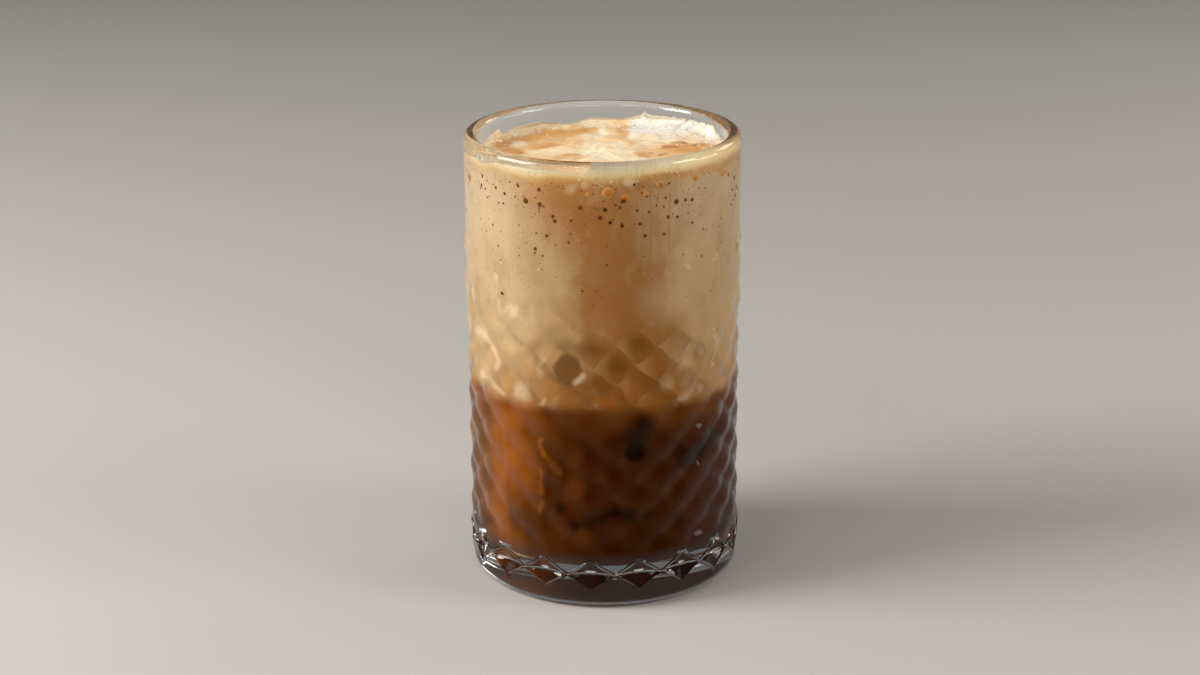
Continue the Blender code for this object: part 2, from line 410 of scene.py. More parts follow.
def round_diamonds(solid):
    """Raise the edges of the diamonds a little and bevel them, so that they catch the light."""
    creased = {}
    for vertex in solid.verts:
        if not on_pattern(vertex.co) or vertex.co.z > LATTICE_BOTTOM + NEAR_EDGE:
            continue
        across, up = pattern_place(vertex.co)[0], band_row(vertex.co.z)
        beside = abs(across - 2 * round(across / 2))
        if abs(beside + abs(up) - 1) < 0.02:
            creased[vertex] = "outline"
            if vertex.co.z < LATTICE_BOTTOM - NEAR_EDGE:
                stretch = 1 + EDGE_RISE / OUTER_RADIUS
                vertex.co.x *= stretch
                vertex.co.y *= stretch
        elif abs(up) < 0.02:
            creased[vertex] = "centre line"
    edges = []
    for edge in solid.edges:
        first, second = (creased.get(vertex) for vertex in edge.verts)
        level = abs(edge.verts[0].co.z - edge.verts[1].co.z) < NEAR_EDGE
        if first and second and (level if "centre line" in (first, second) else not level):
            edges.append(edge)
    bmesh.ops.bevel(solid, geom=edges, offset=EDGE_WIDTH / 2, offset_type="OFFSET", segments=2,
                    profile=0.6, affect="EDGES", clamp_overlap=True)


# Turning the pattern's zero onto a row of points keeps the creases on the mesh
tumbler.data.transform(Matrix.Rotation(PATTERN_TURN, 4, "Z"))
wall = bmesh.new()
wall.from_mesh(tumbler.data)
split_on_slants(wall)
press(wall)
round_diamonds(wall)
wall.to_mesh(tumbler.data)
wall.free()
settle(tumbler)
bpy.ops.object.shade_smooth_by_angle(angle=radians(38))
print("tumbler moulded:", len(tumbler.data.polygons), "faces")

# %% [markdown]
# ### Finishes by nodes
#
# Each finish is one Principled shader with procedural nodes in front of it. Short helpers keep the
# node trees readable: one adds a node with its values, one gives Object coordinates, and one
# measures how near a point is to a place, for marks that sit at one spot.

# %% Helpers for finishes
def tone(red, green, blue):
    """A colour read off a picture, 0 to 255, as the linear colour that a shader takes."""
    return [((c / 255 + 0.055) / 1.055) ** 2.4 if c > 10 else c / 255 / 12.92
            for c in (red, green, blue)] + [1]


def add_node(tree, kind, links=None, **settings):
    """Add a node. Settings name its properties, and links gives its inputs a value or a socket."""
    node = tree.nodes.new(kind)
    for name, value in settings.items():
        setattr(node, name, value)
    for name, value in (links or {}).items():
        if isinstance(value, bpy.types.NodeSocket):
            tree.links.new(value, node.inputs[name])
        else:
            node.inputs[name].default_value = value
    return node


def object_place(tree):
    """Object coordinates, in metres."""
    return add_node(tree, "ShaderNodeTexCoord").outputs["Object"]


def cloud(tree, place, per_metre, detail=3, squash=(1, 1, 1), rough=0.5):
    """Cloudy noise from 0 to 1, with so many swells a metre; squash stretches it along an axis."""
    mapped = add_node(tree, "ShaderNodeMapping", {"Vector": place, "Scale": squash})
    return add_node(tree, "ShaderNodeTexNoise", {
        "Vector": mapped.outputs["Vector"], "Scale": per_metre, "Detail": detail, "Roughness": rough,
    }).outputs["Fac"]


def vector_math(tree, kind, *inputs):
    """Arithmetic on places. A distance, a length or a dot product gives a value, and the rest a place."""
    node = add_node(tree, "ShaderNodeVectorMath", dict(enumerate(inputs)), operation=kind)
    return node.outputs["Value" if kind in ("DISTANCE", "LENGTH", "DOT_PRODUCT") else "Vector"]


def flat_place(tree, place):
    """The place seen from above, with its height taken away."""
    return vector_math(tree, "MULTIPLY", place, (1, 1, 0))


def bent_place(tree, place, per_metre, detail, reach):
    """The place pushed about by noise, as far as reach, so that what is laid on it gets uneven edges."""
    wobble = add_node(tree, "ShaderNodeTexNoise", {"Vector": place, "Scale": per_metre, "Detail": detail})
    push = vector_math(tree, "SUBTRACT", wobble.outputs["Color"], (0.5, 0.5, 0.5))
    return vector_math(tree, "MULTIPLY_ADD", push, reach, place)


def spread(tree, value, low, high, out_low=0.0, out_high=1.0):
    """Stretch a value from one range to another, with soft ends."""
    return add_node(tree, "ShaderNodeMapRange", {
        "Value": value, "From Min": low, "From Max": high, "To Min": out_low, "To Max": out_high,
    }, interpolation_type="SMOOTHSTEP").outputs["Result"]


def nearness(tree, place, centre, inner, outer):
    """1 within the inner distance of a place, falling to 0 at the outer distance."""
    return spread(tree, vector_math(tree, "DISTANCE", place, centre), inner, outer, 1.0, 0.0)


def combine(tree, kind, first, *others):
    """Arithmetic on values, taken one after the other."""
    for other in others:
        first = add_node(tree, "ShaderNodeMath", {0: first, 1: other}, operation=kind).outputs["Value"]
    return first


def times(tree, *values):
    """Values multiplied together."""
    return combine(tree, "MULTIPLY", *values)


def plus(tree, *values):
    """Values added together."""
    return combine(tree, "ADD", *values)


def blend_colour(tree, share, first, second):
    """A mix of two colours, or of sockets that give them."""
    node = add_node(tree, "ShaderNodeMix", data_type="RGBA")
    for socket, value in zip((node.inputs[0], node.inputs[6], node.inputs[7]), (share, first, second)):
        if isinstance(value, bpy.types.NodeSocket):
            tree.links.new(value, socket)
        else:
            socket.default_value = value
    return node.outputs[2]


def paint_marks(tree, colour, paint, place, marks, share_of, *more):
    """Paint marks over a colour. Each mark's nodes are made just before they are used."""
    for mark in marks:
        colour = blend_colour(tree, share_of(tree, place, *mark, *more), colour, paint)
    return colour


def colour_steps(tree, value, steps):
    """A colour ramp through (position, colour) steps."""
    ramp = add_node(tree, "ShaderNodeValToRGB", {"Fac": value})
    elements = ramp.color_ramp.elements
    elements[0].position, elements[0].color = steps[0]
    elements[1].position, elements[1].color = steps[-1]
    for position, colour in steps[1:-1]:
        elements.new(position).color = colour
    return ramp.outputs["Color"]


def bump(tree, shader, height, strength, distance):
    """Low relief on the shader's normal, so many metres high."""
    node = add_node(tree, "ShaderNodeBump", {"Height": height, "Strength": strength, "Distance": distance})
    tree.links.new(node.outputs["Normal"], shader.inputs["Normal"])


def coat(tree, shader, colour, gloss, grain, strength, distance):
    """Give the shader its colour, its gloss, and a grain as low relief."""
    tree.links.new(colour, shader.inputs["Base Color"])
    shader.inputs["Specular IOR Level"].default_value = gloss
    bump(tree, shader, grain, strength, distance)


# %% [markdown]
# ### Clear glass
#
# Soda glass is almost colourless and bends light by 1.5. Pressed glass isn't quite flat: its skin
# has faint swells a few millimetres wide, left by the mould, which make its highlights waver. They
# are too low to model, so a bump makes them. On a pale stage the whole wall would mirror the floor
# and veil the drink, so its reflections are toned down there, and stay bright on the rim and foot.

# %% Glass finish
WALL_SHINE = (0.20, 0.17, 0.14, 1)
FULL_SHINE = (1.0, 0.97, 0.93, 1)
# Heights between which the full shine starts, at the rim and at the foot
RIM_SHINE = (HEIGHT - 2.4 * MM, HEIGHT - 0.9 * MM)
FOOT_SHINE = (18 * MM, 14 * MM)
# Where the rim is rippled
RIPPLED_RIM = (-27 * MM, -27 * MM, 129 * MM)
RIPPLE_STRENGTH = 5.0


def make_clear_glass():
    """Pressed soda glass with faint swells."""
    material, tree, shader = new_finish("clear_glass", 0.0)
    shader.inputs["Base Color"].default_value = (0.985, 0.99, 0.985, 1)
    shader.inputs["Transmission Weight"].default_value = 1
    shader.inputs["IOR"].default_value = 1.5
    place = object_place(tree)
    height = add_node(tree, "ShaderNodeSeparateXYZ", {"Vector": place}).outputs["Z"]
    bright = plus(tree, spread(tree, height, *RIM_SHINE), spread(tree, height, *FOOT_SHINE, 0.0, 0.8))
    tree.links.new(blend_colour(tree, bright, WALL_SHINE, FULL_SHINE), shader.inputs["Specular Tint"])
    swells = cloud(tree, place, 220, detail=1, squash=(1, 1, 0.35))
    ripples = times(tree, cloud(tree, place, 420, detail=2, squash=(1, 1, 0.6)),
                    nearness(tree, place, RIPPLED_RIM, 12 * MM, 24 * MM), RIPPLE_STRENGTH)
    bump(tree, shader, plus(tree, swells, ripples), 0.35, 0.04 * MM)
    return material


dress(tumbler, make_clear_glass(), "clear_glass", "glass")

# %% [markdown]
# ## The drink
#
# Coffee and foam touch the glass with no air between, so each reaches a little way into the wall.
# Where the coffee meets the foam the real boundary is soft and wavy. Modelling it would show a hard
# line, so both pieces are plain turned shapes that get their colour from the same layers, and the
# seam between them doesn't show.

# %% Coffee and foam
INTO_WALL = 0.15 * MM
DRINK_RADIUS = INNER_RADIUS + INTO_WALL
DRINK_STEPS = 144
COFFEE_LEVEL = 59 * MM
FROTH_BOTTOM = 122.3 * MM
SEAM = 0.05 * MM


def make_coffee_body():
    """Coffee, from the rounded floor up to where the foam begins."""
    corner = FLOOR_CORNER_RADIUS + INTO_WALL
    section = [(0, COFFEE_LEVEL + SEAM), (DRINK_RADIUS, COFFEE_LEVEL + SEAM)]
    section += arc(DRINK_RADIUS - corner, FLOOR_HEIGHT - INTO_WALL + corner, corner, 0, -90, ARC_POINTS)
    section += [(DRINK_RADIUS / 2, FLOOR_HEIGHT - INTO_WALL - FLOOR_DISH / 4),
                (0, FLOOR_HEIGHT - INTO_WALL - FLOOR_DISH)]
    return turn("coffee_body", section, DRINK_STEPS)


def make_foam_layer():
    """Milk foam, from the coffee up to the froth."""
    bottom, top = COFFEE_LEVEL - SEAM, FROTH_BOTTOM + SEAM
    section = [(0, top), (DRINK_RADIUS, top), (DRINK_RADIUS, bottom), (0, bottom)]
    return turn("foam_layer", section, DRINK_STEPS)


coffee = make_coffee_body()
foam = make_foam_layer()
for layer in (coffee, foam):
    settle(layer)
    bpy.ops.object.shade_smooth_by_angle(angle=radians(30))
    print(f"{layer.name}: {layer.dimensions.z / MM:.1f} mm deep")

# %% [markdown]
# ### Colours of the layers
#
# Milk foam is tan, paler towards the top, where the froth drains last. Wisps of coffee run through
# it, longer than they are wide, and soft mottles lie between. Near the coffee the foam turns golden,
# and the coffee itself goes from a painted amber glow at the left, where the lamp shines through it,
# to almost black at the ice cubes.
#
# The moulded wall in front of the drink acts as many small lenses, which gather light onto the drink
# and leave shade beside it. Each pillow leaves the drink lit on one side and shaded on the other, some
# leave the foam in deep shade, and light gathers in blobs and along the pillows' edges. Rendered light
# makes little of this without a great many samples, so this light and shade is painted on the drink:
# marks at their own places, with edges bent by noise.

# %% Measures of the layers
LAYER_HEIGHTS = 130 * MM
# Coffee that was poured down the front of the foam: where the streak stands, and how it fades
STREAK = (3 * MM, -34 * MM, 0)
STREAK_CORE = 5 * MM
STREAK_END = 32 * MM
# Where the foam carries a painted reflection: thin upright dark lines that the glass mirrors
REFLECTED_LINES_CENTRE = (12 * MM, -33 * MM, 113 * MM)
# The marks below are in mm. Each has its centre, the two distances between which it fades, and its
# share, but the dark places, where ice cubes lie near the glass, have one share between them.
ICE_SHARE = 0.85
DARK_PLACES = (
    ((9, -34, 51), 1.5, 7), ((11, -33.2, 54.5), 0.5, 5),
    ((22, -27.5, 42.4), 1.0, 4.5), ((26.0, -23.6, 43.6), 1.6, 5.5),
    ((29.0, -19.8, 45.5), 0.6, 4.5), ((-12.1, -33, 29.5), 0.3, 2.6),
    ((-7.9, -34.2, 24.8), 0.3, 3.2), ((-4.2, -34.8, 25.6), 0.3, 3.6),
    ((-0.8, -35.1, 27.4), 0.5, 4), ((3, -35, 28.8), 0.5, 4),
    ((7, -34.4, 27.8), 0.3, 3.8), ((11.4, -33.2, 27.3), 0.2, 3),
    ((-30, 18, 40), 2.0, 9), ((12, 33, 30), 2.0, 10),
)
# Light places, where a drop or a pillow gathers light on the foam and mirrors a lamp: painted light and
# painted highlights
LIGHT_PLACES = (
    ((-23.3, -26.2, 85.4), 0.5, 3.0, 0.6), ((-22.0, -27.3, 62.2), 0.6, 4.4, 0.6),
    ((-27.7, -21.5, 94.2), 0.3, 1.8, 0.6), ((21.8, -27.5, 70.8), 0.6, 3.4, 0.25),
    ((17.1, -30.7, 65.4), 0.6, 3.6, 0.2), ((21.7, -27.6, 60.6), 0.4, 2.8, 0.3),
    ((15.5, -31.5, 90.0), 1.0, 10.0, 0.26), ((7.2, -34.4, 124.0), 0.6, 2.4, 0.6),
    ((-8.0, -34.2, 122.6), 0.6, 2.6, 0.35), ((-4.3, -34.8, 123.0), 0.4, 1.8, 0.35),
)
# Pillows of the foam painted in deep brown shade, where they gather no light
SHADED_PILLOWS = (
    ((-9.4, -33.8, 70.7), 3.2, 4.9, 0.72), ((-3.9, -34.9, 76.2), 0.8, 6.2, 0.55),
    ((-10.1, -33.6, 77.4), 0.6, 4.6, 0.40), ((2.9, -35.0, 71.2), 0.8, 6.2, 0.50),
    ((-2.7, -35.0, 65.6), 0.8, 6.0, 0.42), ((9.0, -34.0, 77.0), 0.8, 5.6, 0.42),
    ((13.0, -32.6, 67.0), 0.8, 5.6, 0.30), ((25.5, -24.1, 72.0), 0.6, 3.8, 0.35),
)
# Bent lines where a pillow's edge gathers light. Each has its corners, as the angle from the front in
# degrees and the height in mm, then its width in mm, and its share.
FOAM_LINES = (
    (((-69.5, 75), (-63.7, 74.8), (-59.7, 73.5), (-55.3, 71.4), (-54.1, 69), (-54.8, 66.7)), 2.0, 0.5),
    (((-67.4, 63.2), (-60.3, 62.3), (-55.1, 61.0), (-51.5, 60.2)), 2.0, 0.5),
    (((-72.5, 86.5), (-71.9, 84.8)), 1.4, 0.6),
    (((-50.5, 87.6), (-49.4, 84.4), (-44.6, 86.8)), 1.0, 0.3),
    (((-29.4, 59.6), (-27.5, 61.8)), 1.2, 0.4),
    (((-27.2, 73.2), (-30.6, 69.8), (-28.3, 67.0)), 1.4, 0.25),
    (((-11.5, 67.8), (-9.4, 68.4)), 1.8, 0.6),
    (((57.7, 75.7), (58.6, 71.1), (54.8, 67.0)), 1.1, 0.25),
)
# Bent lines of painted light along the pillows' edges on the coffee, given in the same way
COFFEE_LIGHT_LINES = (
    (((-28.9, 49.7), (-30.3, 47.3), (-28.3, 44.8)), 1.3, 0.55),
    (((-28.3, 44.8), (-24.0, 42.2), (-19.8, 39.6)), 1.6, 0.22),
    (((-28.0, 39.8), (-30.0, 36.5), (-28.1, 33.1)), 1.3, 0.4),
    (((-27.9, 30.5), (-29.9, 27.9)), 1.3, 0.35),
    (((-49.6, 54.7), (-50.2, 49.2), (-49.1, 43.4), (-49.4, 37.3), (-51.1, 27.8), (-49.4, 18.9)), 2.2, 0.35),
    (((-57.0, 23.0), (-53.0, 20.0)), 4.0, 0.55),
)
LINE_CORE = 0.1 * MM
# How far noise pushes the marks' edges about
MARK_BEND = (3 * MM, 3 * MM, 3 * MM)
# The layers' boundaries sway this far up and down
SWAY = 1.6 * MM
# Coffee turns to foam between these shares of the layers' height
MIXING_LEVELS = (0.439, 0.470)
GATHERED_LIGHT = (0.97, 0.80, 0.53, 1)
PAINTED_PILLOW_SHADE = (0.16, 0.055, 0.008, 1)
AMBER = (0.37, 0.105, 0.008, 1)
PAINTED_AMBER_LIGHT = (0.48, 0.15, 0.017, 1)
DEEP_COFFEE = (0.064, 0.0112, 0.0003, 1)
ICE_SHADE = (0.014, 0.004, 0.0004, 1)
print(len(DARK_PLACES) + len(LIGHT_PLACES) + len(SHADED_PILLOWS), "marks and",
      len(FOAM_LINES) + len(COFFEE_LIGHT_LINES), "bent lines on the drink")


# %% Shares of the marks
def wall_place(angle, height, outwards=0):
    """A place on the drink's side: degrees round from the front, and height and way out in mm."""
    radius = DRINK_RADIUS + outwards * MM
    return Vector((radius * sin(radians(angle)), -radius * cos(radians(angle)), height * MM))


def mark_share(tree, place, centre, near, far, share):
    """The share of a round mark, falling to 0 between its two distances."""
    return times(tree, nearness(tree, place, [v * MM for v in centre], near * MM, far * MM), share)


def line_share(tree, place, corners, width, share):
    """The share of a bent line against the glass, falling to 0 at its width."""
    corner_places = [wall_place(*corner) for corner in corners]
    total = 0.0
    for start, end in zip(corner_places, corner_places[1:]):
        along = end - start
        offset = vector_math(tree, "SUBTRACT", place, start)
        way = vector_math(tree, "DOT_PRODUCT", offset, along / along.length_squared)
        way = add_node(tree, "ShaderNodeClamp", {"Value": way}).outputs["Result"]
        # A value linked to a vector's socket would add a hidden node, and too many make the finish fail
        nearest = add_node(tree, "ShaderNodeVectorMath", {0: along, "Scale": way}, operation="SCALE")
        near = nearness(tree, offset, nearest.outputs["Vector"], LINE_CORE, width * MM)
        total = combine(tree, "MAXIMUM", total, near)
    return times(tree, total, share)


def pillow_slope(tree, place, split):
    """From 0 to 1 across each pillow, which is a square on its slants, towards the upper right."""
    across = combine(tree, "ARCTAN2", split.outputs["Y"], split.outputs["X"])
    across = times(tree, combine(tree, "SUBTRACT", across, PATTERN_TURN), pi / COLUMN_ANGLE)
    up = times(tree, combine(tree, "SUBTRACT", split.outputs["Z"], LATTICE_BOTTOM + 1.5 * MM),
               pi / HALF_PILLOW_HEIGHT)
    across = plus(tree, across, spread(tree, cloud(tree, place, 90, detail=1), 0.3, 0.7, -0.6, 0.6))
    up = plus(tree, up, spread(tree, cloud(tree, place, 120, detail=1), 0.3, 0.7, -0.6, 0.6))
    slope = 0.0
    for along, share in ((plus(tree, across, up), 0.65), (combine(tree, "SUBTRACT", across, up), 0.35)):
        part = combine(tree, "FRACT", combine(tree, "DIVIDE", along, 2 * pi), 0)
        slope = plus(tree, slope, times(tree, part, share))
    return slope


# %% Colours of foam and coffee
def foam_colour(tree, place, bent, split, level, slope):
    """Tan foam: poured streak, wisps, mottles, painted light and shade of the pillows, painted reflection.
    """
    height, x = split.outputs["Z"], split.outputs["X"]
    milky = colour_steps(tree, level, [
        (0.00, (0.60, 0.36, 0.12, 1)),
        (0.47, (0.60, 0.36, 0.13, 1)),
        (0.56, (0.70, 0.49, 0.24, 1)),
        (0.74, (0.74, 0.56, 0.32, 1)),
        (0.93, (0.75, 0.58, 0.36, 1)),
        (0.953, (0.76, 0.54, 0.28, 1)),
        (0.966, (0.94, 0.75, 0.45, 1)),
        (0.976, (1.0, 0.87, 0.60, 1)),
    ])
    caramel = colour_steps(tree, level, [
        (0.00, (0.40, 0.14, 0.017, 1)),
        (0.47, (0.40, 0.14, 0.018, 1)),
        (0.58, (0.42, 0.165, 0.028, 1)),
        (0.78, (0.46, 0.215, 0.058, 1)),
        (0.90, (0.46, 0.205, 0.052, 1)),
        (0.940, (0.56, 0.25, 0.062, 1)),
        (0.955, (0.70, 0.39, 0.11, 1)),
        (0.963, (0.88, 0.64, 0.28, 1)),
        (0.976, (1.0, 0.84, 0.54, 1)),
    ])
    streak = plus(tree, nearness(tree, flat_place(tree, place), STREAK, STREAK_CORE, STREAK_END),
                  spread(tree, height, 60 * MM, 86 * MM, 0.28, 0.0))
    wisps = cloud(tree, place, 34, detail=4, squash=(1, 1, 0.45), rough=0.6)
    streak = plus(tree, times(tree, streak, 0.85), spread(tree, wisps, 0.30, 0.72, -0.32, 0.38))
    streak = spread(tree, streak, -0.1, 1.1)
    pale = blend_colour(tree, streak, milky, caramel)
    # Painted shade: the foam darkens towards its right side
    pale = blend_colour(tree, spread(tree, x, 14 * MM, 33 * MM, 0, 0.5), pale, (0.54, 0.33, 0.135, 1))
    golden = times(tree, spread(tree, level, 0.944, 0.956), spread(tree, level, 0.967, 0.959),
                   spread(tree, x, 2 * MM, 12 * MM, 0, 0.8))
    pale = blend_colour(tree, golden, pale, (0.68, 0.37, 0.11, 1))
    mottles = cloud(tree, place, 95, detail=4, squash=(1, 1, 0.7), rough=0.6)
    pale = blend_colour(tree, spread(tree, mottles, 0.5, 0.72, 0, 0.30), pale, (0.86, 0.66, 0.42, 1))
    pale = blend_colour(tree, spread(tree, mottles, 0.5, 0.28, 0, 0.30), pale, (0.40, 0.19, 0.055, 1))
    fine = cloud(tree, place, 900, detail=3, rough=0.6)
    pale = blend_colour(tree, spread(tree, fine, 0.55, 0.75, 0, 0.35), pale, (0.50, 0.28, 0.11, 1))
    in_lattice = times(tree, spread(tree, height, 76 * MM, 84 * MM, 1.0, 0.0),
                       spread(tree, streak, 0.15, 0.6, 0.2, 1.0))
    patches = cloud(tree, place, 70, detail=2)
    shade = times(tree, in_lattice, times(tree, spread(tree, patches, 0.35, 0.6, 0.1, 1.0),
                                          spread(tree, slope, 0.42, 0.85, 0, 0.42)))
    pale = blend_colour(tree, shade, pale, (0.26, 0.10, 0.018, 1))
    shine = times(tree, in_lattice, times(tree, spread(tree, patches, 0.62, 0.38, 0.05, 1.0),
                                          spread(tree, slope, 0.5, 0.15, 0, 0.36)))
    pale = blend_colour(tree, shine, pale, (0.80, 0.50, 0.21, 1))
    # Painted reflection of thin upright lines in the glass
    reflected_lines = cloud(tree, place, 900, detail=1, squash=(1, 1, 0.012))
    reflected_lines = times(tree, spread(tree, reflected_lines, 0.58, 0.72, 0, 0.4),
                  nearness(tree, place, REFLECTED_LINES_CENTRE, 5 * MM, 15 * MM))
    pale = blend_colour(tree, reflected_lines, pale, (0.34, 0.15, 0.045, 1))
    # Painted shade on some pillows, then painted light in blobs and along the pillows' edges
    pale = paint_marks(tree, pale, PAINTED_PILLOW_SHADE, bent, SHADED_PILLOWS, mark_share)
    pale = paint_marks(tree, pale, GATHERED_LIGHT, bent, LIGHT_PLACES, mark_share)
    return paint_marks(tree, pale, GATHERED_LIGHT, bent, FOAM_LINES, line_share)


def coffee_colour(tree, place, bent, split, level, slope):
    """Coffee lit amber at the left by painted light, deeper to the right, with dark ice near the glass."""
    height, x = split.outputs["Z"], split.outputs["X"]
    # Painted light: the coffee glows amber at the left, where the lamp shines through it, and deepens to
    # the right, unevenly
    lit_side_falloff = times(tree, cloud(tree, place, 42, detail=3, squash=(1, 1, 0.7)), 0.65)
    lit_side_falloff = plus(tree, lit_side_falloff, times(tree, x, 9.0))
    dark = blend_colour(tree, spread(tree, lit_side_falloff, 0.02, 0.28), AMBER, DEEP_COFFEE)
    # Painted light on one side of each pillow, faint on the coffee
    dark = blend_colour(tree, spread(tree, slope, 0.45, 0.1, 0, 0.08), dark, (0.40, 0.12, 0.012, 1))
    # Painted shade near the coffee's left edge, uneven by noise
    left_edge_shade = times(tree, spread(tree, x, -28.5 * MM, -32.5 * MM, 0, 0.9),
                    spread(tree, cloud(tree, place, 75, detail=2), 0.32, 0.52, 0.3, 1.0))
    dark = blend_colour(tree, left_edge_shade, dark, (0.105, 0.045, 0.009, 1))
    # Painted light along the pillows' edges on the coffee
    dark = paint_marks(tree, dark, PAINTED_AMBER_LIGHT, bent, COFFEE_LIGHT_LINES, line_share)
    milky_top = times(tree, spread(tree, level, 0.37, 0.445, 0, 0.62),
                      spread(tree, x, -20 * MM, 6 * MM, 0.35, 1.0))
    dark = blend_colour(tree, milky_top, dark, (0.25, 0.070, 0.005, 1))
    low = times(tree, spread(tree, height, 32 * MM, 15 * MM, 0, 0.42),
                spread(tree, x, -24 * MM, -8 * MM, 0.35, 1.0))
    dark = blend_colour(tree, low, dark, (0.045, 0.007, 0.0002, 1))
    return paint_marks(tree, dark, ICE_SHADE, place, DARK_PLACES, mark_share, ICE_SHARE)


def layer_colour(tree, place):
    """Colour of the drink at a place against the glass. The boundaries between the layers sway."""
    split = add_node(tree, "ShaderNodeSeparateXYZ", {"Vector": place})
    height = split.outputs["Z"]
    waves = cloud(tree, place, 55, detail=2, squash=(1, 1, 0.3))
    sway = times(tree, spread(tree, waves, 0.3, 0.7, -SWAY, SWAY),
                 spread(tree, height, 112 * MM, 123 * MM, 1.0, 0.35),
                 spread(tree, height, 60 * MM, 72 * MM, 0.35, 1.0))
    level = combine(tree, "DIVIDE", plus(tree, height, sway), LAYER_HEIGHTS)
    slope = pillow_slope(tree, place, split)
    bent = bent_place(tree, place, 200, 1, MARK_BEND)
    pale = foam_colour(tree, place, bent, split, level, slope)
    dark = coffee_colour(tree, place, bent, split, level, slope)
    return blend_colour(tree, spread(tree, level, *MIXING_LEVELS), dark, pale)


# %% Finishes of coffee and foam
def make_drink_finish(name, roughness, gloss):
    """Coffee and foam share their colours, and differ in gloss."""
    material, tree, shader = new_finish(name, roughness)
    place = object_place(tree)
    colour = layer_colour(tree, place)
    coat(tree, shader, colour, gloss, cloud(tree, place, 1600, detail=2), 0.25, 0.05 * MM)
    return material


dress(coffee, make_drink_finish("dark_coffee", 0.35, 0.0), "dark_coffee", "coffee")
dress(foam, make_drink_finish("coffee_foam", 0.6, 0.0), "coffee_foam", "milk_foam")

# %% [markdown]
# ## Ice cubes
#
# The drink is served over ice. The cubes are sunk in the coffee, and where one leans on the glass
# its dark, clear face shows. A cube from a tray has rounded edges and slightly hollow faces, so each
# starts as a box, gets a bevel, and is dented by low noise. What would stand beyond the coffee's
# side is pressed flat against the glass, and each point keeps as an attribute how far it was pressed,
# so that the cube's colour can fade into the coffee round it.

# %% Ice cubes
ICE_SEED = 7
ICE_EDGE = 3.6 * MM
ICE_REACH = DRINK_RADIUS + 0.04 * MM
# Each cube: place in mm, turn in degrees, size in mm
ICE_CUBES = (
    ((5.0, -24.0, 48.6), (1, 18, 73), (20, 18, 16)),
    ((17.6, -17.5, 46.2), (-33, 5, 19), (18, 17, 16)),
    ((0.2, -22.0, 28.4), (5, -39, 85), (24, 18, 16)),
    ((-20.0, 14.0, 38), (15, 35, 50), (21, 20, 18)),
    ((10.0, 21.0, 30), (-20, 15, 20), (22, 21, 18)),
    ((-17.0, -8.0, 47), (30, 10, 25), (18, 18, 16)),
)


def make_ice_cube(place, turned, size):
    """One cube with rounded, dented sides, pressed to the inside of the glass."""
    cube = add_alone("ice_cube", bpy.ops.mesh.primitive_cube_add, size=1, scale=[s * MM for s in size])
    settle(cube)
    bpy.ops.object.mode_set(mode="EDIT")
    bpy.ops.mesh.select_all(action="SELECT")
    bpy.ops.mesh.bevel(offset=ICE_EDGE, segments=5, profile=0.5, affect="EDGES")
    bpy.ops.mesh.select_all(action="SELECT")
    bpy.ops.mesh.subdivide(number_cuts=5)
    bpy.ops.object.mode_set(mode="OBJECT")
    turning = Euler([radians(angle) for angle in turned]).to_matrix()
    pressed = cube.data.attributes.new("pressed", "FLOAT", "POINT")
    for vertex in cube.data.vertices:
        point = turning @ vertex.co + Vector(place) * MM
        point += 0.5 * MM * noise.noise_vector(point / (7 * MM))
        radius = hypot(point.x, point.y)
        pressed.data[vertex.index].value = (radius - DRINK_RADIUS) / MM
        if radius > ICE_REACH:
            point.x *= ICE_REACH / radius
            point.y *= ICE_REACH / radius
        vertex.co = point
    return cube


def make_wet_ice():
    """Clear ice in dark coffee: nearly black, with a cloudy core, and coffee round where it touches."""
    material, tree, shader = new_finish("wet_ice", 0.15)
    place = object_place(tree)
    core = spread(tree, cloud(tree, place, 120, detail=3), 0.45, 0.75)
    ice_colour = blend_colour(tree, core, (0.012, 0.0035, 0.0004, 1), (0.035, 0.011, 0.002, 1))
    touching = add_node(tree, "ShaderNodeAttribute", attribute_name="pressed").outputs["Fac"]
    colour = blend_colour(tree, spread(tree, touching, 0.0, 1.3), layer_colour(tree, place), ice_colour)
    coat(tree, shader, colour, 0.0, cloud(tree, place, 500, detail=2), 0.2, 0.05 * MM)
    return material


# Without a seed, the noise that dents the cubes takes one from the clock and differs in each run
noise.seed_set(ICE_SEED)
ice = join([make_ice_cube(*cube) for cube in ICE_CUBES], "ice_cubes")
bpy.ops.object.shade_smooth_by_angle(angle=radians(40))
dress(ice, make_wet_ice(), "dark_coffee")

# %% [markdown]
# ## The froth
#
# The froth's top is soft and uneven. It clings to the wall in a ragged edge that differs all the
# way round, and sinks in the middle. It could be sculpted by hand, but then a wish to change it would
# mean sculpting it again. So a disc with fine rings is spun first, and each point of its top is
# lifted by a formula, from the edge's heights at the wall, a few broad mounds, and fine fluff.

# %% Shape of the froth
FROTH_LEVEL = 123.9 * MM
FROTH_RINGS = 96
FROTH_STEPS = 360
CLIMB_WIDTH = 4.5 * MM
# The edge at the wall: angle round from the front, towards the right, in degrees, and height
FROTH_EDGE = (
    (-174, 125.1), (-165, 123.6), (-157, 124.2), (-149, 125.1), (-142, 125.1), (-134, 124.7),
    (-126, 123.9), (-122, 125.6), (-114, 124.8), (-108, 123.9), (-90, 124.4), (-79, 124.8),
    (-68, 125.6), (-63, 124.9), (-49, 126.5), (-42, 126.7), (-27, 126.6), (-20, 126.8), (-8, 126.6),
    (-4, 128.2), (16, 128.3), (64, 128.3), (80, 128.0), (92, 125.8), (104, 124.8), (110, 125.6),
    (116, 127.2), (126, 127.0), (133, 126.8), (146, 126.6), (154, 126.6), (159, 127.0), (164, 125.6),
    (171, 124.8), (178, 125.0),
)
